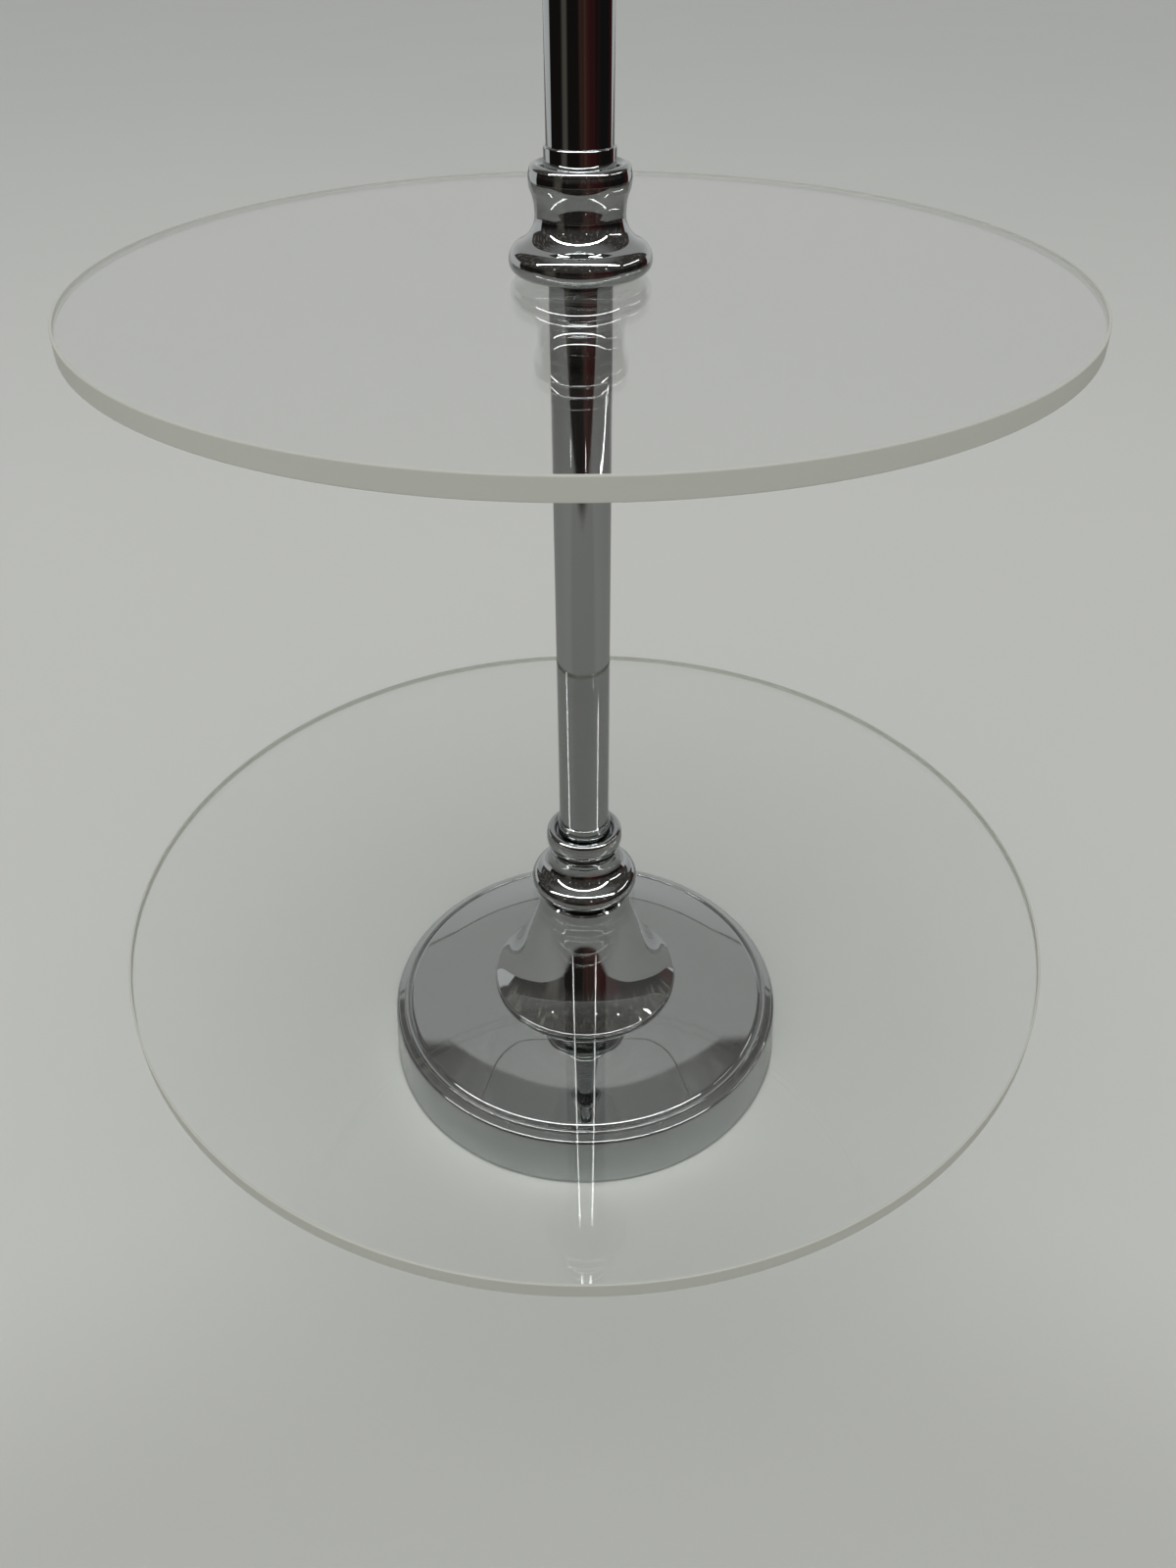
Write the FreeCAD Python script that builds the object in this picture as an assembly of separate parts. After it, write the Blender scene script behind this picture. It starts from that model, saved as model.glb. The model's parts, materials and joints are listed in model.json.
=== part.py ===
"""Two-tier cake stand: a weighted chrome base, a trumpet stem, two clear acrylic discs
on a tubular post, and a turned finial that clamps the stack along a threaded tie rod.

Millimetres, +Z up. The origin is the centre of the foot pad's underside, on the post's axis.
Every turned piece is a half-section in the XZ plane, revolved about Z.
"""
import FreeCAD, Part
import math
import os

# ---- discs and post -------------------------------------------------------------------
LOWER_DISC_R = 150.0        # tier radii
UPPER_DISC_R = 124.0
DISC_T = 5.0                # acrylic sheet
DISC_EDGE = 0.35            # flame-polished corner of a disc
DISC_BORE_R = 5.0           # centre hole of a disc
LOWER_TOP_Z = 73.6          # top face of each disc
UPPER_TOP_Z = 272.8
TUBE_R = 8.0                # post tube, outside
TUBE_WALL = 1.0
POST_TOP_Z = 390.0          # upper end of the post, under the finial

# ---- tie rod and its hardware (M6) ----------------------------------------------------
ROD_R = 3.0
ROD_FIT = 0.05              # radial clearance of a nut, coupler or finial on the rod
ROD_HOLE_R = 3.3            # clearance hole for the rod
ROD_FOOT_Z = 3.0
ROD_SPLIT_Z = 178.0         # the two rods meet here, inside the coupler
ROD_INTO_FINIAL = 22.0
NUT_FLATS = 10.0            # across the flats
NUT_H = 5.0
COUPLER_H = 18.0

# ---- base -----------------------------------------------------------------------------
PAD_R = 67.6
PAD_T = 1.5
SHELL_FOOT_Z = 0.6          # the shell clears the table, the pad carries it
SHELL_FOOT_R = 69.8
SHELL_EDGE_R = 68.9         # the skirt leans in to here
SHELL_EDGE_Z = 18.2
SHELL_WALL = 1.6
LAND_R = 31.6               # flat top of the dome, under the bell
LAND_Z = 28.0
BALLAST_R = 66.2
BALLAST_TOP_Z = 16.4
BALLAST_BOSS_R = 26.0       # boss that the shell's land is clamped down on
NUT_POCKET_R = 14.0
NUT_POCKET_Z = 10.5

# ---- bell -----------------------------------------------------------------------------
BELL_RIM_R = 32.5
BELL_NECK_R = 14.2
BELL_TOP_Z = 68.1
BELL_CORE_R = 20.0          # cored underside of the casting
BELL_CORE_TOP_R = 7.0
BELL_CORE_TOP_Z = 58.0

# ---- washers and bushes ---------------------------------------------------------------
SEAT_FLANGE_T = 0.5         # clear flanged washer under a disc, with a spigot in its bore
SEAT_SPIGOT_H = 4.6
SPIGOT_FIT = 0.05
LOWER_SEAT_R = 13.0
UPPER_SEAT_R = 7.8
CLAMP_WASHER_R = 12.4       # clear washer between a disc and its collar
CLAMP_WASHER_T = 0.4
BUSH_R = TUBE_R - TUBE_WALL - 0.02
BUSH_H = 10.0
FINIAL_WASHER_R = 7.8
FINIAL_WASHER_T = 0.6

# ---- collar, measured up from the disc it stands on -------------------------------------
BEAD_R = 17.65
BEAD_Z = 3.5                # the bead is widest here
WAIST_R = 11.1
RING_R = 12.4
COLLAR_TOP = 24.9
SOCKET_FLOOR = 14.0         # the tube stands here
SOCKET_STEP = 19.5          # the ferrule stands here
FERRULE_R = 8.6
FERRULE_TOP = 28.6
TUBE_FIT = 0.05             # radial clearance of the tube in its socket and ferrule

# ---- finial ---------------------------------------------------------------------------
FOOT_BEAD_R = 12.4
FINIAL_BALL_R = 14.6
FINIAL_BALL_Z = 25.5        # centre of the ball above the finial's foot
FINIAL_TIP_R = 3.8
FINIAL_BORE_H = 26.0


class Outline:
    """A closed half-section, drawn run by run as (radius, height) and turned about Z."""

    def __init__(self, r, z):
        self.first = (r, z)
        self.here = (r, z)
        self.edges = []

    @staticmethod
    def at(point):
        return FreeCAD.Vector(point[0], 0, point[1])

    def line(self, r, z):
        self.edges.append(Part.makeLine(self.at(self.here), self.at((r, z))))
        self.here = (r, z)
        return self

    def arc(self, through, end):
        points = [self.at(p) for p in (self.here, through, end)]
        self.edges.append(Part.Arc(*points).toShape())
        self.here = end
        return self

    def about(self, centre, end):
        """An arc round a centre, by the shorter way, to an end at the same radius."""
        spokes = [self.at(p) - self.at(centre) for p in (self.here, end)]
        middle = spokes[0] + spokes[1]
        middle.multiply(spokes[0].Length / middle.Length)
        middle += self.at(centre)
        return self.arc((middle.x, middle.z), end)

    def curve(self, *points):
        spline = Part.BSplineCurve()
        spline.interpolate([self.at(p) for p in (self.here,) + points])
        self.edges.append(spline.toShape())
        self.here = points[-1]
        return self

    def turned(self):
        if self.here != self.first:
            self.line(*self.first)
        face = Part.Face(Part.Wire(self.edges))
        return face.revolve(FreeCAD.Vector(0, 0, 0), FreeCAD.Vector(0, 0, 1), 360)


def ring(inner_r, outer_r, low_z, high_z, break_edge=0.0):
    """A flat ring, its outer corners broken by a small chamfer."""
    b = break_edge
    shape = Outline(inner_r, low_z).line(outer_r - b, low_z)
    if b:
        shape.line(outer_r, low_z + b).line(outer_r, high_z - b)
        shape.line(outer_r - b, high_z)
    else:
        shape.line(outer_r, high_z)
    return shape.line(inner_r, high_z).turned()


def rod(low_z, high_z):
    """A length of threaded rod with pointed ends, drawn at its outside diameter."""
    point = 0.6
    tip_r = ROD_R - point
    outline = Outline(0, low_z).line(tip_r, low_z).line(ROD_R, low_z + point)
    return outline.line(ROD_R, high_z - point).line(tip_r, high_z).line(0, high_z).turned()


def hex_nut(low_z, height):
    """A hexagon nut with its corners turned off at both ends."""
    corner_r = NUT_FLATS / 2 / math.cos(math.pi / 6)
    corners = []
    for k in range(7):
        angle = k * math.pi / 3
        corners.append(FreeCAD.Vector(corner_r * math.cos(angle), corner_r * math.sin(angle), low_z))
    prism = Part.Face(Part.makePolygon(corners)).extrude(FreeCAD.Vector(0, 0, height))
    cut = corner_r - NUT_FLATS / 2 + 0.2
    lift = cut * math.tan(math.radians(30))
    high_z = low_z + height
    blank = Outline(ROD_R + ROD_FIT, low_z).line(corner_r - cut, low_z).line(corner_r, low_z + lift)
    blank.line(corner_r, high_z - lift).line(corner_r - cut, high_z).line(ROD_R + ROD_FIT, high_z)
    return prism.common(blank.turned())


def base_shell():
    """Leaning skirt, rounded shoulder, ledge with a fine bead, groove, and a shallow dome."""
    shoulder = (67.7, 19.75)
    bead_foot = (66.0, 20.4)
    groove = (64.1, 20.5)
    dome_foot = (62.4, 21.9)
    land_under_z = LAND_Z - SHELL_WALL
    outline = Outline(ROD_HOLE_R, land_under_z)
    outline.line(LAND_R - 2.0, land_under_z)
    outline.arc((48.0, 23.9), (60.8, 19.6))
    outline.line(SHELL_EDGE_R - SHELL_WALL, 17.4)
    outline.line(SHELL_FOOT_R - SHELL_WALL, SHELL_FOOT_Z)
    outline.line(SHELL_FOOT_R, SHELL_FOOT_Z)
    outline.line(SHELL_EDGE_R, SHELL_EDGE_Z)
    outline.arc((68.55, 19.3), shoulder)
    outline.line(*bead_foot)
    outline.arc((65.15, 21.35), (64.3, 20.6))
    outline.line(*groove)
    outline.arc((63.55, 21.3), dome_foot)
    outline.arc((48.0, 25.6), (LAND_R, LAND_Z))
    outline.line(ROD_HOLE_R, LAND_Z)
    return outline.turned()


def base_ballast():
    """Cast weight that fills the shell, with a pocket underneath for the clamping nut."""
    outline = Outline(ROD_HOLE_R, NUT_POCKET_Z)
    outline.line(NUT_POCKET_R, NUT_POCKET_Z).line(NUT_POCKET_R, PAD_T)
    outline.line(BALLAST_R - 1.0, PAD_T).line(BALLAST_R, PAD_T + 1.0)
    outline.line(BALLAST_R, BALLAST_TOP_Z - 1.5).line(BALLAST_R - 1.5, BALLAST_TOP_Z)
    outline.line(58.0, BALLAST_TOP_Z).line(BALLAST_BOSS_R + 3.0, 22.6)
    outline.line(BALLAST_BOSS_R, LAND_Z - SHELL_WALL).line(ROD_HOLE_R, LAND_Z - SHELL_WALL)
    return outline.turned()


def bell_stem():
    """Trumpet casting between the dome and the lower disc, with a rolled rim at its foot."""
    foot_r = 31.2
    outline = Outline(ROD_HOLE_R, BELL_CORE_TOP_Z)
    outline.line(BELL_CORE_TOP_R, BELL_CORE_TOP_Z).line(BELL_CORE_R, LAND_Z)
    outline.line(foot_r, LAND_Z)
    outline.arc((BELL_RIM_R, 29.1), (31.9, 30.0))
    outline.curve((27.9, 34.1), (24.1, 39.8), (21.0, 46.8), (18.3, 54.0), (16.05, 60.8),
                  (BELL_NECK_R + 0.25, BELL_TOP_Z - 0.6))
    outline.line(BELL_NECK_R - 0.35, BELL_TOP_Z).line(ROD_HOLE_R, BELL_TOP_Z)
    return outline.turned()


def seat_washer(disc_top_z, flange_r):
    """Clear flanged washer: the disc lies on the flange and turns on the spigot."""
    under_z = disc_top_z - DISC_T
    spigot_r = DISC_BORE_R - SPIGOT_FIT
    outline = Outline(ROD_HOLE_R, under_z - SEAT_FLANGE_T)
    outline.line(flange_r, under_z - SEAT_FLANGE_T).line(flange_r, under_z)
    outline.line(spigot_r, under_z).line(spigot_r, under_z + SEAT_SPIGOT_H)
    return outline.line(ROD_HOLE_R, under_z + SEAT_SPIGOT_H).turned()


def collar(disc_top_z):
    """Turned collar: a full bead on the disc, a cove, and a ring dished round the post."""
    def up(r, height):
        return (r, disc_top_z + height)

    bead_r = BEAD_Z - CLAMP_WASHER_T
    outline = Outline(*up(ROD_HOLE_R, CLAMP_WASHER_T))
    outline.line(*up(BEAD_R - bead_r, CLAMP_WASHER_T))
    outline.about(up(BEAD_R - bead_r, BEAD_Z), up(BEAD_R, BEAD_Z))
    outline.arc(up(17.25, 5.35), up(15.5, 7.25))
    outline.arc(up(12.55, 9.4), up(WAIST_R, 14.8))
    outline.arc(up(11.35, 17.1), up(12.1, 19.3))
    outline.arc(up(RING_R, 21.4), up(12.15, 23.4))
    outline.arc(up(11.65, 24.5), up(10.6, COLLAR_TOP))
    outline.arc(up(9.65, 24.35), up(9.2, 23.2))
    outline.line(*up(9.1, 22.4)).line(*up(FERRULE_R + TUBE_FIT, 22.4))
    outline.line(*up(FERRULE_R + TUBE_FIT, SOCKET_STEP)).line(*up(TUBE_R + TUBE_FIT, SOCKET_STEP))
    outline.line(*up(TUBE_R + TUBE_FIT, SOCKET_FLOOR)).line(*up(ROD_HOLE_R, SOCKET_FLOOR))
    return outline.turned()


def ferrule(disc_top_z):
    """Thin ring that sleeves the foot of the post where it leaves the collar."""
    inner_r = TUBE_R + TUBE_FIT
    low_z = disc_top_z + SOCKET_STEP
    high_z = disc_top_z + FERRULE_TOP
    outline = Outline(inner_r, low_z).line(FERRULE_R, low_z).line(FERRULE_R, high_z - 0.45)
    outline.arc((FERRULE_R - 0.13, high_z - 0.13), (FERRULE_R - 0.45, high_z))
    return outline.line(inner_r, high_z).turned()


def finial():
    """Turned knob: a foot bead, a cove, a ball and a small tip, tapped from below."""
    foot_z = POST_TOP_Z + FINIAL_WASHER_T
    neck_r = 7.6
    crown_r = 3.0           # where the tip grows out of the ball

    def up(r, height):
        return (r, foot_z + height)

    ball_low = FINIAL_BALL_Z - math.sqrt(FINIAL_BALL_R ** 2 - neck_r ** 2)
    ball_high = FINIAL_BALL_Z + math.sqrt(FINIAL_BALL_R ** 2 - crown_r ** 2)
    tip_z = ball_high + math.sqrt(FINIAL_TIP_R ** 2 - crown_r ** 2)
    outline = Outline(*up(ROD_R + ROD_FIT, 0))
    outline.line(*up(FOOT_BEAD_R - 3.0, 0))
    outline.about(up(FOOT_BEAD_R - 3.0, 3.0), up(FOOT_BEAD_R, 3.0))
    outline.arc(up(11.9, 4.8), up(10.2, 6.0))
    outline.arc(up(7.4, 8.4), up(6.9, ball_low - 1.4))
    outline.line(*up(neck_r, ball_low))
    outline.arc(up(FINIAL_BALL_R, FINIAL_BALL_Z), up(crown_r, ball_high))
    outline.arc(up(FINIAL_TIP_R, tip_z), up(0, tip_z + FINIAL_TIP_R))
    outline.line(*up(0, FINIAL_BORE_H)).line(*up(ROD_R + ROD_FIT, FINIAL_BORE_H))
    return outline.turned()


def base_parts():
    """The weighted base: shell and ballast clamped between two nuts on the lower rod."""
    clamp_washer_t = 1.5
    clamp_nut_z = NUT_POCKET_Z - clamp_washer_t - NUT_H
    lock_washer_t = 1.2
    return {
        "base_pad": ring(0, PAD_R, 0, PAD_T, 0.2),
        "base_shell": base_shell(),
        "base_ballast": base_ballast(),
        "base_clamp_washer": ring(ROD_HOLE_R, 12.0, NUT_POCKET_Z - clamp_washer_t, NUT_POCKET_Z),
        "base_clamp_nut": hex_nut(clamp_nut_z, NUT_H),
        "base_lock_washer": ring(ROD_HOLE_R, 9.0, LAND_Z, LAND_Z + lock_washer_t),
        "base_lock_nut": hex_nut(LAND_Z + lock_washer_t, NUT_H),
        "bell_stem": bell_stem(),
    }


def tie_rod_parts():
    finial_foot_z = POST_TOP_Z + FINIAL_WASHER_T
    return {
        "lower_rod": rod(ROD_FOOT_Z, ROD_SPLIT_Z),
        "rod_coupler": hex_nut(ROD_SPLIT_Z - COUPLER_H / 2, COUPLER_H),
        "upper_rod": rod(ROD_SPLIT_Z, finial_foot_z + ROD_INTO_FINIAL),
    }


def tier_parts(tier, disc_r, disc_top_z, seat_r, tube_top_z):
    """One tier: its disc between two clear washers, the collar, and the tube above."""
    tube_foot_z = disc_top_z + SOCKET_FLOOR
    tube_inner_r = TUBE_R - TUBE_WALL
    return {
        tier + "_seat_washer": seat_washer(disc_top_z, seat_r),
        tier + "_disc": ring(DISC_BORE_R, disc_r, disc_top_z - DISC_T, disc_top_z, DISC_EDGE),
        tier + "_clamp_washer": ring(ROD_HOLE_R, CLAMP_WASHER_R, disc_top_z,
                                     disc_top_z + CLAMP_WASHER_T),
        tier + "_collar": collar(disc_top_z),
        tier + "_ferrule": ferrule(disc_top_z),
        tier + "_tube": ring(tube_inner_r, TUBE_R, tube_foot_z, tube_top_z),
        tier + "_foot_bush": ring(ROD_HOLE_R, BUSH_R, tube_foot_z, tube_foot_z + BUSH_H, 0.5),
        tier + "_head_bush": ring(ROD_HOLE_R, BUSH_R, tube_top_z - BUSH_H, tube_top_z, 0.5),
    }


def finial_parts():
    return {
        "finial_washer": ring(ROD_HOLE_R, FINIAL_WASHER_R, POST_TOP_Z,
                              POST_TOP_Z + FINIAL_WASHER_T),
        "finial": finial(),
    }


def main():
    lower_tube_top_z = UPPER_TOP_Z - DISC_T - SEAT_FLANGE_T
    parts = base_parts()
    parts.update(tie_rod_parts())
    parts.update(tier_parts("lower", LOWER_DISC_R, LOWER_TOP_Z, LOWER_SEAT_R, lower_tube_top_z))
    parts.update(tier_parts("upper", UPPER_DISC_R, UPPER_TOP_Z, UPPER_SEAT_R, POST_TOP_Z))
    parts.update(finial_parts())
    os.makedirs("parts", exist_ok=True)
    for name, shape in parts.items():
        solid = shape.Solids[0]
        if len(shape.Solids) != 1 or not solid.isValid():
            raise SystemExit(name + " is not one valid solid")
        solid.exportStep("parts/" + name + ".step")
        box = solid.BoundBox
        print(f"{name:20s} {solid.Volume / 1000:9.2f} cm3   z {box.ZMin:7.2f} to {box.ZMax:7.2f}")


main()
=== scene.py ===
"""Looks for the two-tier cake stand: turned chrome with cast inner hardware, clear acrylic discs,
a pale floor under soft light with a soft shadow painted into its colour in front, and a made-up dim room that
only the chrome and gloss mirror.

Half-sections are in millimetres, as the stand's drawing gives them; everything else is in metres.
"""

import json
import math

import bmesh
import bpy
import numpy as np
from mathutils import Matrix, Vector


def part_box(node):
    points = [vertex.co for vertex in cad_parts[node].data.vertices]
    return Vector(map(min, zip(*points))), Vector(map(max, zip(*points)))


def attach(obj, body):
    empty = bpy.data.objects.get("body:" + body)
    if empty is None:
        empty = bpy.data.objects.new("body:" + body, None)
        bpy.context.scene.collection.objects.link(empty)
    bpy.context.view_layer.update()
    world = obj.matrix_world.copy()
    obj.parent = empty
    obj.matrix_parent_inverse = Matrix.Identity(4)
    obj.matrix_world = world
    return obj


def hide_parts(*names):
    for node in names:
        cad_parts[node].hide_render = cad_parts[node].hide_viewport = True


MM = 0.001
TURNS = 192                 # faces round a turned piece
ARC_STEP = math.radians(4)
SPLINE_STEPS = 6            # samples along each span of a spline
ON_AXIS = 1e-6              # a radius under this is on the axis, mm
CREASE = math.radians(9)    # a sharper turn than this between faces shows as an edge
EASE = 0.18                 # radius that softens a turned corner, mm
EASE_POINTS = 13            # samples round a softened corner
NEARLY_STRAIGHT = math.radians(155)     # a corner that opens wider than this isn't softened
EASE_SHARE = 0.3            # the most of an edge that one softened corner may use
GUARD_REACH = 1.8           # a guard point's distance from its corner, in softened lengths
GUARD_ROOM = 4              # an edge shorter than this many softened lengths gets no guard point
GAP = 0.02                  # clearance that keeps clear plastic off its neighbours, mm
ROD_HOLE_R = 3.3            # radii that more than one piece shares, mm
TUBE_SOCKET_R = 8.05
TIERS = ("lower", "upper")

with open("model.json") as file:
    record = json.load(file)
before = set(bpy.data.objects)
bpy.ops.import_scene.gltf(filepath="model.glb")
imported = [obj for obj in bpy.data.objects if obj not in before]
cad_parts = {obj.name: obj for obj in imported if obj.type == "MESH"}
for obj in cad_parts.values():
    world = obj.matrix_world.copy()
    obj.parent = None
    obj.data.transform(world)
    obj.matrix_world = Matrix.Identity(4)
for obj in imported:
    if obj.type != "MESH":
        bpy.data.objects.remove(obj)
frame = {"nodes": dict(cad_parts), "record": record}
scene = bpy.context.scene
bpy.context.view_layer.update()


# ---- half-sections ------------------------------------------------------------------------
class Outline:
    """A half-section, run by run as (radius, height), with arcs and curves sampled for a mirror finish."""

    def __init__(self, r, z):
        self.points = [(r, z)]

    def line(self, r, z):
        self.points.append((r, z))
        return self

    def sweep(self, centre, turn):
        """Goes round a centre by an angle, anticlockwise in (radius, height) where it is positive."""
        start = Vector(self.points[-1]) - Vector(centre)
        steps = max(2, math.ceil(abs(turn) / ARC_STEP))
        for k in range(1, steps + 1):
            spoke = Matrix.Rotation(turn * k / steps, 2) @ start
            self.points.append((centre[0] + spoke.x, centre[1] + spoke.y))
        return self

    def about(self, centre, end):
        """An arc round a centre, by the shorter way."""
        a = Vector(self.points[-1]) - Vector(centre)
        b = Vector(end) - Vector(centre)
        return self.sweep(centre, math.atan2(a.x * b.y - a.y * b.x, a.dot(b)))

    def arc(self, through, end):
        """An arc from here to an end, through a third point."""
        (ax, ay), (bx, by), (cx, cy) = self.points[-1], through, end
        bend = 2 * (ax * (by - cy) + bx * (cy - ay) + cx * (ay - by))
        a2, b2, c2 = ax * ax + ay * ay, bx * bx + by * by, cx * cx + cy * cy
        centre = ((a2 * (by - cy) + b2 * (cy - ay) + c2 * (ay - by)) / bend,
                  (a2 * (cx - bx) + b2 * (ax - cx) + c2 * (bx - ax)) / bend)
        first, last = (Vector(p) - Vector(centre) for p in ((ax, ay), (cx, cy)))
        turn = math.atan2(first.x * last.y - first.y * last.x, first.dot(last))
        anticlockwise = (bx - ax) * (cy - ay) - (by - ay) * (cx - ax) > 0
        if anticlockwise != (turn > 0):
            turn += math.tau if anticlockwise else -math.tau
        return self.sweep(centre, turn)

    def curve(self, *through):
        """A natural cubic spline from here through the points given."""
        knots = np.array([self.points[-1], *through])
        t = np.concatenate([[0], np.cumsum(np.linalg.norm(np.diff(knots, axis=0), axis=1))])
        h = np.diff(t)
        n = len(t)
        system = np.eye(n)
        load = np.zeros((n, 2))
        for k in range(1, n - 1):
            system[k, k - 1:k + 2] = h[k - 1], 2 * (h[k - 1] + h[k]), h[k]
            load[k] = 6 * ((knots[k + 1] - knots[k]) / h[k] - (knots[k] - knots[k - 1]) / h[k - 1])
        bend = np.linalg.solve(system, load)
        for k in range(n - 1):
            for s in np.linspace(0, h[k], SPLINE_STEPS + 1)[1:]:
                u = h[k] - s
                p = ((bend[k] * u ** 3 + bend[k + 1] * s ** 3) / (6 * h[k])
                     + (knots[k] / h[k] - bend[k] * h[k] / 6) * u
                     + (knots[k + 1] / h[k] - bend[k + 1] * h[k] / 6) * s)
                self.points.append((float(p[0]), float(p[1])))
        return self

    def eased(self, radius):
        """The closed half-section, its sharp corners rounded, with guard points where there is room."""
        out = []
        n = len(self.points)
        for k, p in enumerate(self.points):
            here = Vector(p)
            back = Vector(self.points[k - 1]) - here
            on = Vector(self.points[(k + 1) % n]) - here
            opening = back.angle(on)
            if opening > NEARLY_STRAIGHT or here.x < ON_AXIS:
                out.append(p)
                continue
            reach = min(radius / math.tan(opening / 2), EASE_SHARE * back.length, EASE_SHARE * on.length)
            first = here + back.normalized() * reach
            last = here + on.normalized() * reach
            if back.length > GUARD_ROOM * reach:
                out.append(tuple(here + back.normalized() * reach * GUARD_REACH))
            for t in np.linspace(0, 1, EASE_POINTS):
                bezier = first * (1 - t) ** 2 + here * 2 * t * (1 - t) + last * t ** 2
                out.append(tuple(bezier))
            if on.length > GUARD_ROOM * reach:
                out.append(tuple(here + on.normalized() * reach * GUARD_REACH))
        return out


def turned(name, outline, material, body, replaced, ease=EASE):
    """Revolves a half-section into a closed mesh that stands for a CAD node and rides on its body."""
    bm = bmesh.new()
    loops = []
    for r, z in outline.eased(ease):
        if r < ON_AXIS:
            loops.append([bm.verts.new((0, 0, z * MM))] * TURNS)
            continue
        spokes = (math.tau * k / TURNS for k in range(TURNS))
        loops.append([bm.verts.new((r * MM * math.cos(a), r * MM * math.sin(a), z * MM)) for a in spokes])
    for k, loop in enumerate(loops):
        above = loops[(k + 1) % len(loops)]
        if loop[0] is loop[1] and above[0] is above[1]:
            continue
        for j in range(TURNS):
            i = (j + 1) % TURNS
            corners = list(dict.fromkeys((loop[j], loop[i], above[i], above[j])))
            bm.faces.new(corners)
    bmesh.ops.recalc_face_normals(bm, faces=bm.faces)
    mesh = bpy.data.meshes.new(name)
    bm.to_mesh(mesh)
    bm.free()
    mesh.shade_smooth()
    mesh.set_sharp_from_angle(angle=CREASE)
    mesh.materials.append(material)
    piece = bpy.data.objects.new(name, mesh)
    scene.collection.objects.link(piece)
    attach(piece, body)
    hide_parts(replaced)
    return piece


def low(node):
    """A CAD node's underside, in millimetres."""
    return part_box(node)[0].z / MM


def high(node):
    """A CAD node's top, in millimetres."""
    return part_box(node)[1].z / MM


def radius(node):
    """A CAD node's outer radius, in millimetres."""
    lo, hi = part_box(node)
    return (hi.x - lo.x) / 2 / MM


# ---- node helpers -------------------------------------------------------------------------
class Nodes:
    """A small hand for building a node tree."""

    def __init__(self, tree):
        self.tree = tree
        tree.nodes.clear()

    def add(self, kind, settings=None, **inputs):
        node = self.tree.nodes.new(kind)
        for key, value in (settings or {}).items():
            setattr(node, key, value)
        for key, value in inputs.items():
            self.put(node, key.replace("_", " "), value)
        return node

    def put(self, node, key, value):
        """Links or sets one input, named by its label or its number."""
        socket = node.inputs[int(key) if key.isdigit() else key]
        if isinstance(value, bpy.types.NodeSocket):
            self.tree.links.new(value, socket)
        else:
            socket.default_value = value

    def math(self, operation, *values):
        node = self.add("ShaderNodeMath", {"operation": operation})
        for k, value in enumerate(values):
            self.put(node, str(k), value)
        return node.outputs[0]

    def spread(self, value, low, high, to_low=0.0, to_high=1.0, smooth=True):
        """Maps a value from one range to another, eased at both ends."""
        node = self.add("ShaderNodeMapRange", {"interpolation_type": "SMOOTHSTEP" if smooth else "LINEAR"})
        for key, number in zip(("Value", "From Min", "From Max", "To Min", "To Max"),
                               (value, low, high, to_low, to_high)):
            self.put(node, key, number)
        return node.outputs["Result"]

    def blend(self, share, a, b):
        """A colour between two, or a shader between two."""
        shaders = isinstance(a, bpy.types.NodeSocketShader)
        if shaders:
            node = self.add("ShaderNodeMixShader")
        else:
            node = self.add("ShaderNodeMix", {"data_type": "RGBA"})
        sockets = node.inputs if shaders else [node.inputs[k] for k in (0, 6, 7)]
        for socket, value in zip(sockets, (share, a, b)):
            if isinstance(value, bpy.types.NodeSocket):
                self.tree.links.new(value, socket)
            else:
                socket.default_value = value
        return node.outputs[0] if shaders else node.outputs[2]

    def noise(self, where, scale, detail=3.0, roughness=0.55):
        return self.add("ShaderNodeTexNoise", Vector=where, Scale=scale, Detail=detail,
                        Roughness=roughness).outputs["Fac"]

    def stretched(self, where, x, y, z):
        node = self.add("ShaderNodeMapping", Vector=where)
        node.inputs["Scale"].default_value = (x, y, z)
        return node.outputs["Vector"]

    def mirrored(self):
        """One for a ray that has met gloss on its way, zero for one straight from the camera."""
        return self.math("GREATER_THAN", self.add("ShaderNodeLightPath").outputs["Glossy Depth"], 0.5)


def new_material(name):
    material = bpy.data.materials.new(name)
    material.use_nodes = True
    nodes = Nodes(material.node_tree)
    where = nodes.add("ShaderNodeTexCoord").outputs["Object"]
    return material, nodes, where


def finish_material(nodes, shader):
    nodes.add("ShaderNodeOutputMaterial", Surface=shader)


# ---- materials ----------------------------------------------------------------------------
CHROME_PALE = (0.562, 0.584, 0.590, 1)
CHROME_DEEP = (0.528, 0.548, 0.552, 1)
PLATING_ROUGHNESS = 0.022
SMUDGE_ROUGHNESS = 0.045    # what a full smudge adds
EDGE_PALE = (0.625, 0.632, 0.578, 1)
EDGE_DEEP = (0.585, 0.592, 0.538, 1)
CLEAR_IOR = 1.49
CLEAR_PASS = (0.93, 0.94, 0.935, 1)     # what is left of a lamp's light on the far side


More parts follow.
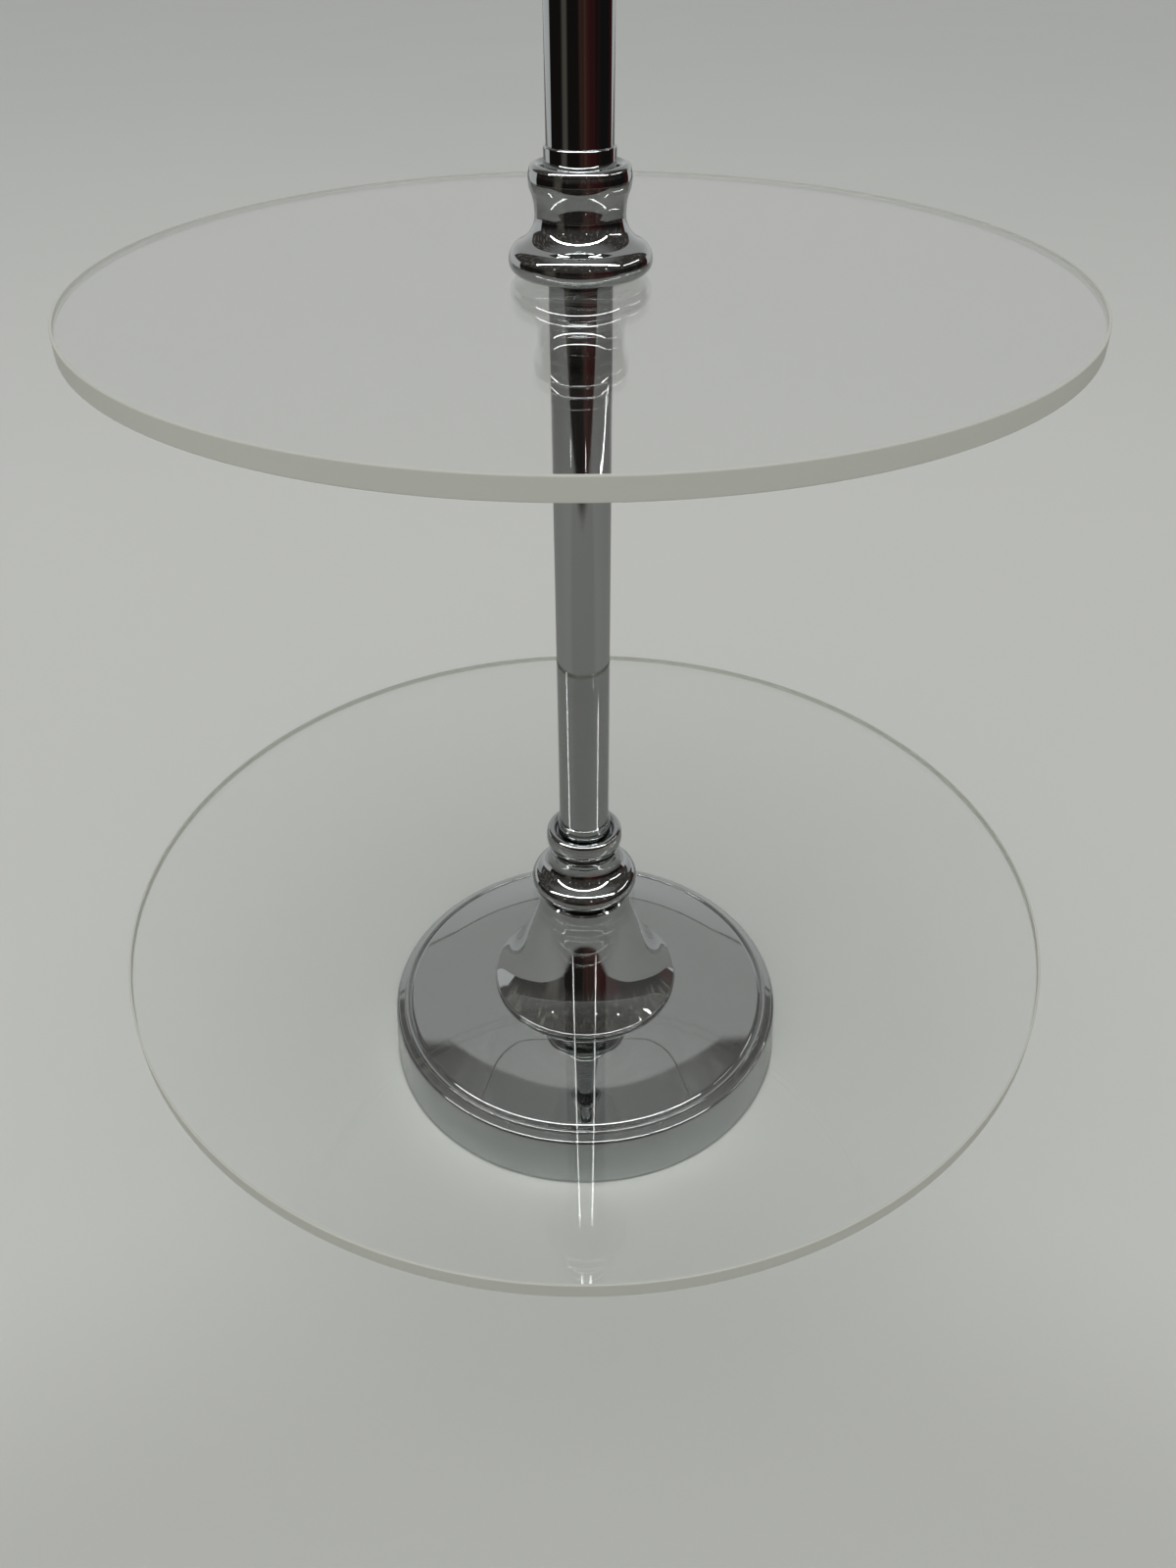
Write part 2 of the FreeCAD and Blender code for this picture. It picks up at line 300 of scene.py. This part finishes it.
def chrome(name, lathe_marks):
    """Mirror plating: faint smudges in its gloss, a slow ripple from the buffing wheel, fine lathe lines."""
    material, nodes, where = new_material(name)
    cloud = nodes.noise(where, 22.0, 4.0)
    smudge = nodes.spread(nodes.noise(where, 95.0, 5.0, 0.65), 0.50, 0.78)
    colour = nodes.blend(cloud, CHROME_PALE, CHROME_DEEP)
    roughness = nodes.math("MULTIPLY_ADD", smudge, SMUDGE_ROUGHNESS, PLATING_ROUGHNESS)
    ripple = nodes.noise(where, 38.0, 2.0)
    lines = nodes.noise(nodes.stretched(where, 20, 20, 4200), 1.0, 2.0)
    height = nodes.math("MULTIPLY_ADD", lines, lathe_marks, ripple)
    bump = nodes.add("ShaderNodeBump", Strength=0.05, Distance=0.0006, Height=height)
    shader = nodes.add("ShaderNodeBsdfPrincipled", Base_Color=colour, Metallic=1.0, Roughness=roughness,
                       Normal=bump.outputs[0])
    finish_material(nodes, shader.outputs[0])
    return material


def clear_plastic(name, tint, gloss, haze, scratch_scale=240.0):
    """Clear sheet: refracts what is seen through it and lets lamps and the floor's light straight through."""
    material, nodes, where = new_material(name)
    marks = nodes.spread(nodes.noise(where, scratch_scale, 5.0, 0.7), 0.58, 0.82)
    roughness = nodes.math("MULTIPLY_ADD", marks, haze, gloss)
    faint = nodes.noise(where, 9.0, 2.0)
    bump = nodes.add("ShaderNodeBump", Strength=0.008, Distance=0.0005, Height=faint)
    shader = nodes.add("ShaderNodeBsdfPrincipled", Base_Color=tint, Roughness=roughness, IOR=CLEAR_IOR,
                       Transmission_Weight=1.0, Normal=bump.outputs[0])
    path = nodes.add("ShaderNodeLightPath").outputs
    through = nodes.add("ShaderNodeBsdfTransparent", Color=CLEAR_PASS)
    lit = nodes.math("MAXIMUM", path["Is Shadow Ray"], path["Is Diffuse Ray"])
    finish_material(nodes, nodes.blend(lit, shader.outputs[0], through.outputs[0]))
    return material


def acrylic_edge(name):
    """The disc's cut edge: satin from the cutter, milky against the light, with a faint tool trace."""
    material, nodes, where = new_material(name)
    trace = nodes.noise(nodes.stretched(where, 160, 160, 1500), 1.0, 3.0)
    roughness = nodes.spread(trace, 0.3, 0.7, 0.42, 0.52, smooth=False)
    colour = nodes.blend(nodes.noise(where, 14.0), EDGE_PALE, EDGE_DEEP)
    bump = nodes.add("ShaderNodeBump", Strength=0.03, Distance=0.0001, Height=trace)
    shader = nodes.add("ShaderNodeBsdfPrincipled", Base_Color=colour, Roughness=roughness, IOR=CLEAR_IOR,
                       Normal=bump.outputs[0])
    nodes.put(shader, "Specular IOR Level", 0.2)
    finish_material(nodes, shader.outputs[0])
    return material


def grained(name, pale, deep, metallic, rough_low, rough_high, scale, bump_height):
    """A cast, moulded or plated surface: mottled colour, uneven gloss and a fine grain."""
    material, nodes, where = new_material(name)
    cloud = nodes.noise(where, scale * 0.15, 4.0)
    grain = nodes.noise(where, scale, 5.0, 0.65)
    colour = nodes.blend(nodes.spread(cloud, 0.3, 0.7), pale, deep)
    roughness = nodes.spread(grain, 0.3, 0.7, rough_low, rough_high, smooth=False)
    bump = nodes.add("ShaderNodeBump", Strength=0.5, Distance=bump_height, Height=grain)
    shader = nodes.add("ShaderNodeBsdfPrincipled", Base_Color=colour, Metallic=metallic,
                       Roughness=roughness, Normal=bump.outputs[0])
    finish_material(nodes, shader.outputs[0])
    return material


def make_materials():
    return {
        "chrome": chrome("chrome", 0.06),
        "chrome_tube": chrome("chrome_tube", 0.02),
        "acrylic": clear_plastic("acrylic", (0.985, 0.99, 0.985, 1), 0.0, 0.006),
        "acrylic_edge": acrylic_edge("acrylic_edge"),
        "clear_washer": clear_plastic("clear_washer", (0.95, 0.965, 0.96, 1), 0.03, 0.10, 900.0),
        "zinc_steel": grained("zinc_steel", (0.60, 0.62, 0.66, 1), (0.46, 0.48, 0.50, 1), 1.0,
                              0.22, 0.42, 1800.0, 0.00002),
        "cast_iron": grained("cast_iron", (0.12, 0.12, 0.125, 1), (0.055, 0.055, 0.06, 1), 0.6,
                             0.55, 0.85, 900.0, 0.0002),
        "foam": grained("foam", (0.035, 0.036, 0.038, 1), (0.02, 0.02, 0.022, 1), 0.0,
                        0.85, 0.98, 2200.0, 0.00015),
        "nylon": grained("nylon", (0.80, 0.79, 0.73, 1), (0.70, 0.69, 0.63, 1), 0.0,
                         0.35, 0.55, 1200.0, 0.00003),
    }


# ---- turned pieces ------------------------------------------------------------------------
def base_shell(material):
    """Pressed sheet: leaning skirt, shoulder, ledge, bead, groove, and a shallow dome up to a flat land."""
    wall = 1.6
    land_r = 31.6
    foot = low("base_shell")
    land = high("base_shell")
    foot_r = radius("base_shell")
    outline = Outline(ROD_HOLE_R, land - wall).line(land_r - 2, land - wall).arc((48.0, 23.9), (60.8, 19.6))
    outline.line(67.3, 17.4).line(foot_r - wall, foot).line(foot_r, foot).line(68.9, 18.2)
    outline.arc((68.55, 19.3), (67.7, 19.75)).line(66.0, 20.4).arc((65.15, 21.35), (64.3, 20.6))
    outline.line(64.1, 20.5).arc((63.55, 21.3), (62.4, 21.9)).arc((48.0, 25.6), (land_r, land))
    outline.line(ROD_HOLE_R, land)
    return turned("shell_chromed", outline, material, "stand", "base_shell", ease=0.12)


def bell(material):
    """Hollow trumpet: rolled rim, flare, and a flat head that the lower seat washer lies on."""
    foot = low("bell_stem")
    top = high("bell_stem")
    ceiling = top - 10.1
    outline = Outline(ROD_HOLE_R, ceiling).line(7.0, ceiling).line(20.0, foot).line(31.2, foot)
    outline.arc((radius("bell_stem"), foot + 1.1), (31.9, foot + 2.0))
    outline.curve((27.9, 34.1), (24.1, 39.8), (21.0, 46.8), (18.3, 54.0), (16.05, 60.8), (14.45, top - 0.6))
    outline.line(13.85, top - GAP).line(ROD_HOLE_R, top - GAP)
    return turned("bell_turned", outline, material, "stand", "bell_stem")


def collar(tier, material):
    """Full bead, cove, and the ring dished round the post."""
    disc_top = high(tier + "_disc")

    def up(r, height):
        return (r, disc_top + height)

    foot = 0.4 + GAP        # it stands on the clamp washer
    widest = 17.65
    bead_r = 3.1
    outline = Outline(*up(ROD_HOLE_R, foot)).line(*up(widest - bead_r, foot))
    outline.about(up(widest - bead_r, 3.5), up(widest, 3.5))
    outline.arc(up(17.25, 5.35), up(15.5, 7.25)).arc(up(12.55, 9.4), up(11.1, 14.8))
    outline.arc(up(11.35, 17.1), up(12.1, 19.3)).arc(up(12.4, 21.4), up(12.15, 23.4))
    outline.arc(up(11.65, 24.5), up(10.6, 24.9)).arc(up(9.65, 24.35), up(9.2, 23.2))
    outline.line(*up(9.1, 22.4)).line(*up(8.65, 22.4)).line(*up(8.65, 19.5))
    outline.line(*up(TUBE_SOCKET_R, 19.5)).line(*up(TUBE_SOCKET_R, 14.0)).line(*up(ROD_HOLE_R, 14.0))
    return turned(tier + "_collar_turned", outline, material, "stand", tier + "_collar")


def ferrule(tier, material):
    node = tier + "_ferrule"
    outer = radius(node)
    round_r = 0.45
    outline = Outline(TUBE_SOCKET_R, low(node)).line(outer, low(node)).line(outer, high(node) - round_r)
    outline.arc((outer - 0.13, high(node) - 0.13), (outer - round_r, high(node)))
    outline.line(TUBE_SOCKET_R, high(node))
    return turned(tier + "_ferrule_turned", outline, material, "stand", node, ease=0.06)


def tube(tier, material):
    node = tier + "_tube"
    outer = radius(node)
    wall = 1
    outline = Outline(outer - wall, low(node)).line(outer, low(node)).line(outer, high(node))
    outline.line(outer - wall, high(node))
    return turned(tier + "_tube_drawn", outline, material, "stand", node, ease=0.15)


def disc(tier, clear, edge):
    """The acrylic disc: two polished faces and a cut edge with flame-softened corners."""
    node = tier + "_disc"
    outer = radius(node)
    hole = 5.0
    edge_band = 0.6         # how far in from the rim the cut edge's material reaches
    outline = Outline(hole, low(node)).line(outer, low(node)).line(outer, high(node)).line(hole, high(node))
    piece = turned(tier + "_disc_cut", outline, clear, tier + "_tier", node, ease=0.4)
    piece.data.materials.append(edge)
    for face in piece.data.polygons:
        if face.center.xy.length / MM > outer - edge_band:
            face.material_index = 1
    return piece


def seat_washer(tier, material):
    """A flange under the disc and a spigot in its hole."""
    node = tier + "_seat_washer"
    flange = 0.5
    spigot_r = 4.95
    foot = low(node) + GAP
    flange_top = low(node) + flange - GAP
    outline = Outline(ROD_HOLE_R, foot).line(radius(node), foot).line(radius(node), flange_top)
    outline.line(spigot_r, flange_top).line(spigot_r, high(node)).line(ROD_HOLE_R, high(node))
    return turned(tier + "_seat_moulded", outline, material, "stand", node, ease=0.08)


def flat_washer(name, node, body, material):
    outline = Outline(ROD_HOLE_R, low(node) + GAP).line(radius(node), low(node) + GAP)
    outline.line(radius(node), high(node) - GAP).line(ROD_HOLE_R, high(node) - GAP)
    return turned(name, outline, material, body, node, ease=0.08)


def finial(material):
    """Foot bead, cove, ball and tip, with a blind hole for the rod."""
    foot = low("finial") + GAP
    hole_r = 3.05
    hole_top = 26.0
    ball_r = radius("finial")
    ball_z = 25.5
    neck_r = 7.6
    crown_r = 3.0
    tip_r = 3.8
    ball_low = ball_z - math.sqrt(ball_r ** 2 - neck_r ** 2)
    ball_high = ball_z + math.sqrt(ball_r ** 2 - crown_r ** 2)
    tip_z = ball_high + math.sqrt(tip_r ** 2 - crown_r ** 2)

    def up(r, height):
        return (r, low("finial") + height)

    outline = Outline(hole_r, foot).line(9.4, foot).about(up(9.4, 3.0), up(12.4, 3.0))
    outline.arc(up(11.9, 4.8), up(10.2, 6.0)).arc(up(7.4, 8.4), up(6.9, ball_low - 1.4))
    outline.line(*up(neck_r, ball_low)).arc(up(ball_r, ball_z), up(crown_r, ball_high))
    outline.arc(up(tip_r, tip_z), up(0, tip_z + tip_r)).line(*up(0, hole_top)).line(*up(hole_r, hole_top))
    return turned("finial_turned", outline, material, "finial_knob", "finial", ease=0.1)


def build_pieces(m):
    pieces = [(base_shell(m["chrome"]), "chrome"), (bell(m["chrome"]), "chrome"),
              (finial(m["chrome"]), "chrome")]
    for tier in TIERS:
        pieces += [(collar(tier, m["chrome"]), "chrome"), (ferrule(tier, m["chrome"]), "chrome"),
                   (tube(tier, m["chrome_tube"]), "chrome"),
                   (disc(tier, m["acrylic"], m["acrylic_edge"]), "acrylic"),
                   (seat_washer(tier, m["clear_washer"]), "clear_washer"),
                   (flat_washer(tier + "_clamp_moulded", tier + "_clamp_washer", "stand",
                                m["clear_washer"]), "clear_washer")]
    pieces.append((flat_washer("finial_washer_moulded", "finial_washer", "finial_lift",
                               m["clear_washer"]), "clear_washer"))


def dress_hardware(m):
    """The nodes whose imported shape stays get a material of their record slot's kind."""
    slots = {part["node"]: part["material_slot"] for part in frame["record"]["subparts"]}
    for name, node in frame["nodes"].items():
        for slot in node.material_slots:
            slot.material = m[slots[name]]


# ---- studio -------------------------------------------------------------------------------
FLOOR_R = 9.0
FLOOR_PALE = (0.745, 0.755, 0.735, 1)
FLOOR_DEEP = (0.715, 0.724, 0.70, 1)
# colour of the soft shadow painted on the floor in front
FLOOR_PAINTED_SHADOW = (0.63, 0.637, 0.615, 1)
PAINTED_SHADOW_CENTRE = (0.0, -0.42, 0.0)      # centre of a soft shadow painted darker into the floor's colour
PAINTED_SHADOW_REACH = (0.38, 0.27)       # where that starts, and where it is full
TABLE_EDGE = -0.455         # gloss mirrors the floor up to here in front, and the dim room beyond
TABLE_JAG = 0.04            # how ragged that edge is
TABLE_SIDE = 1.3            # and how far the mirrored floor goes to each side


def floor():
    """A pale disc for the camera, its colour darker in front where a soft shadow is painted in. Past the
    table's edge it is gone for rays that gloss has mirrored.
    """
    bm = bmesh.new()
    bmesh.ops.create_circle(bm, cap_ends=True, segments=96, radius=FLOOR_R)
    mesh = bpy.data.meshes.new("floor")
    bm.to_mesh(mesh)
    bm.free()
    material, nodes, where = new_material("floor")
    colour = nodes.blend(nodes.noise(where, 3.0, 4.0), FLOOR_PALE, FLOOR_DEEP)
    axes = nodes.add("ShaderNodeSeparateXYZ", Vector=where).outputs
    # painted shadow: the floor's colour turns darker round a spot in front
    from_shadow_centre = nodes.add("ShaderNodeVectorMath", {"operation": "DISTANCE"})
    nodes.put(from_shadow_centre, "0", where)
    nodes.put(from_shadow_centre, "1", PAINTED_SHADOW_CENTRE)
    painted_shadow = nodes.spread(from_shadow_centre.outputs["Value"], *PAINTED_SHADOW_REACH)
    colour = nodes.blend(painted_shadow, colour, FLOOR_PAINTED_SHADOW)
    shader = nodes.add("ShaderNodeBsdfDiffuse", Color=colour, Roughness=0.5)
    ragged = nodes.math("MULTIPLY_ADD", nodes.noise(where, 34.0, 4.0, 0.7), -TABLE_JAG, axes["Y"])
    behind_edge = nodes.spread(ragged, TABLE_EDGE - 2 * TABLE_JAG, TABLE_EDGE)
    within = nodes.spread(nodes.math("ABSOLUTE", axes["X"]), TABLE_SIDE, TABLE_SIDE * 0.8)
    kept = nodes.math("MULTIPLY", behind_edge, within)
    mirrored = nodes.mirrored()
    gone = nodes.add("ShaderNodeBsdfTransparent")
    share = nodes.math("MULTIPLY", nodes.math("SUBTRACT", 1.0, kept), mirrored)
    finish_material(nodes, nodes.blend(share, shader.outputs[0], gone.outputs[0]))
    mesh.materials.append(material)
    piece = bpy.data.objects.new("floor", mesh)
    scene.collection.objects.link(piece)


PLAIN = (0.50, 0.505, 0.50, 1)      # what lights the floor, and what the camera sees behind it
SCREEN_LOW = (0.52, 0.525, 0.52, 1)
SCREEN_HIGH = (0.358, 0.358, 0.348, 1)
SCREEN_TOP = (0.425, 0.425, 0.412, 1)
TONGUE_Y = 0.235            # where the screen's tongue begins behind, and how it bends round the sides
TONGUE_BEND = 1.12
SKIRT_SPREAD = 0.6          # the screen's foot: how it falls back sideways, its slant, and its top
SKIRT_SLANT = 0.22
SKIRT_TOP = 0.18
WALL = (0.009, 0.008, 0.007, 1)
WALL_BANDS = ((0.40, 0.62, (0.062, 0.029, 0.023, 1)),
              (0.72, 0.98, (0.036, 0.009, 0.009, 1)),
              (1.15, 1.42, (0.008, 0.008, 0.008, 1)))       # where each starts, where it is full, its colour
POST_X = -0.75
POST_PALE = (0.10, 0.092, 0.076, 1)
STREAK_DEEP = (0.050, 0.045, 0.042, 1)
STREAK_PALE = (0.34, 0.32, 0.28, 1)
ZENITH = (0.20, 0.20, 0.194, 1)


def room():
    """Plain pale light all round. What gloss mirrors instead is a dim room with a pale screen behind."""
    world = bpy.data.worlds.new("room")
    world.use_nodes = True
    scene.world = world
    nodes = Nodes(world.node_tree)
    where = nodes.add("ShaderNodeTexCoord").outputs["Generated"]
    axes = nodes.add("ShaderNodeSeparateXYZ", Vector=where).outputs
    height = axes["Z"]
    # the screen behind: wide low down, and narrowing to a tongue that reaches almost overhead
    aside = nodes.math("ABSOLUTE", axes["X"])
    squared = nodes.math("MULTIPLY", aside, aside)
    tongue = nodes.math("MULTIPLY_ADD", squared, -TONGUE_BEND, axes["Y"])
    tongue = nodes.math("SUBTRACT", tongue, TONGUE_Y)
    skirt = nodes.math("MULTIPLY_ADD", aside, -SKIRT_SPREAD, axes["Y"])
    skirt = nodes.math("MULTIPLY_ADD", axes["X"], -SKIRT_SLANT, skirt)
    skirt = nodes.math("MINIMUM", skirt, nodes.math("SUBTRACT", SKIRT_TOP, height))
    screen = nodes.spread(nodes.math("MAXIMUM", tongue, skirt), -0.015, 0.02)
    pale = nodes.blend(nodes.spread(height, 0.05, 0.55), SCREEN_LOW, SCREEN_HIGH)
    pale = nodes.blend(nodes.spread(height, 0.78, 0.96), pale, SCREEN_TOP)
    # low down the room is nearly black with wine-dark bands and one paler post
    patches = nodes.noise(nodes.stretched(where, 3.2, 3.2, 0.8), 1.0, 2.0)
    drift = nodes.math("MULTIPLY_ADD", patches, 0.9, axes["X"])
    wall = WALL
    for start, full, shade in WALL_BANDS:
        wall = nodes.blend(nodes.spread(drift, start, full), wall, shade)
    from_post = nodes.math("ABSOLUTE", nodes.math("SUBTRACT", axes["X"], POST_X))
    post = nodes.math("MULTIPLY", nodes.spread(from_post, 0.15, 0.04), 0.8)
    wall = nodes.blend(post, wall, POST_PALE)
    # higher up it is grey in upright streaks, and plain overhead
    streaks = nodes.noise(nodes.stretched(where, 13, 13, 1.5), 1.0, 4.0, 0.62)
    upper = nodes.blend(nodes.spread(streaks, 0.50, 0.78), STREAK_DEEP, STREAK_PALE)
    upper = nodes.blend(nodes.spread(height, 0.72, 0.97), upper, ZENITH)
    dim = nodes.blend(nodes.spread(height, 0.0, 0.32), wall, upper)
    seen = nodes.blend(screen, dim, pale)
    colour = nodes.blend(nodes.mirrored(), PLAIN, seen)
    nodes.add("ShaderNodeOutputWorld",
              Surface=nodes.add("ShaderNodeBackground", Color=colour, Strength=1.0).outputs[0])


LAMP_COLOUR = (1.0, 0.985, 0.96)
LAMP_AIM = Vector((0, 0, 0.2))      # every lamp faces this point of the stand
CEILING_ENDS = (Vector((-3.0, -0.55, 1.75)), Vector((2.5, -0.97, 1.75)))
CEILING_GAP = (0.75, 0.76)          # the dark joint between the ceiling's two lamps, as shares of the run
CEILING_WIDTH = 0.11
DOWNLIGHTS = (("downlight_a", (-1.6, -1.7, 1.25)), ("downlight_b", (0.55, -2.1, 1.2)),
              ("downlight_c", (1.5, -1.6, 1.35)))


def lamp(name, centre, along, length, width, radiance, mirrored=True, shape="RECTANGLE"):
    """A flat lamp lying along a direction. It is either seen in gloss or lights what isn't, never both."""
    light = bpy.data.lights.new(name, "AREA")
    light.shape = shape
    light.size = length
    light.size_y = width
    light.energy = radiance * math.pi * length * width
    light.color = LAMP_COLOUR
    piece = bpy.data.objects.new(name, light)
    scene.collection.objects.link(piece)
    x = Vector(along).normalized()
    back = (Vector(centre) - LAMP_AIM).normalized()
    y = back.cross(x).normalized()
    z = x.cross(y)
    piece.matrix_world = Matrix((x, y, z)).transposed().to_4x4()
    piece.location = centre
    piece.visible_camera = False
    piece.visible_glossy = mirrored
    piece.visible_transmission = mirrored
    piece.visible_diffuse = not mirrored


def lights():
    left, right = CEILING_ENDS
    along = (right - left).normalized()
    runs = (("ceiling_lamp", 0.0, CEILING_GAP[0]), ("ceiling_lamp_end", CEILING_GAP[1], 1.0))
    for name, start, end in runs:
        a, b = (left.lerp(right, share) for share in (start, end))
        lamp(name, (a + b) / 2, along, (b - a).length, CEILING_WIDTH, 40)
    lamp("side_lamp", (2.9, 0.3, 1.45), (0.3, 1, 0), 2.0, 0.03, 20)
    for name, place in DOWNLIGHTS:
        lamp(name, place, (1, 0, 0), 0.07, 0.06, 9, shape="ELLIPSE")
    lamp("soft_key", (-0.3, -0.5, 1.7), (1, 0, 0), 2.2, 1.4, 0.95, mirrored=False)


def camera():
    """The photograph's viewpoint: close in front, level with the upper collar and looking down."""
    data = bpy.data.cameras.new("camera")
    data.sensor_width = 36.0
    data.lens = 28.457
    data.clip_start = 0.01
    data.clip_end = 60.0
    pitch = math.radians(36.944)
    roll = math.radians(-0.218)
    yaw = math.radians(0.353)
    ahead = Vector((math.sin(yaw) * math.cos(pitch), math.cos(yaw) * math.cos(pitch), -math.sin(pitch)))
    level = Vector((math.cos(yaw), -math.sin(yaw), 0))
    over = level.cross(ahead)
    right = level * math.cos(roll) + over * math.sin(roll)
    up = over * math.cos(roll) - level * math.sin(roll)
    piece = bpy.data.objects.new("camera", data)
    scene.collection.objects.link(piece)
    piece.matrix_world = Matrix((right, up, -ahead)).transposed().to_4x4()
    piece.location = (-0.00066, -0.31942, 0.35567)
    scene.camera = piece


materials = make_materials()
build_pieces(materials)
dress_hardware(materials)
floor()
room()
lights()
camera()
scene.view_settings.view_transform = "Standard"
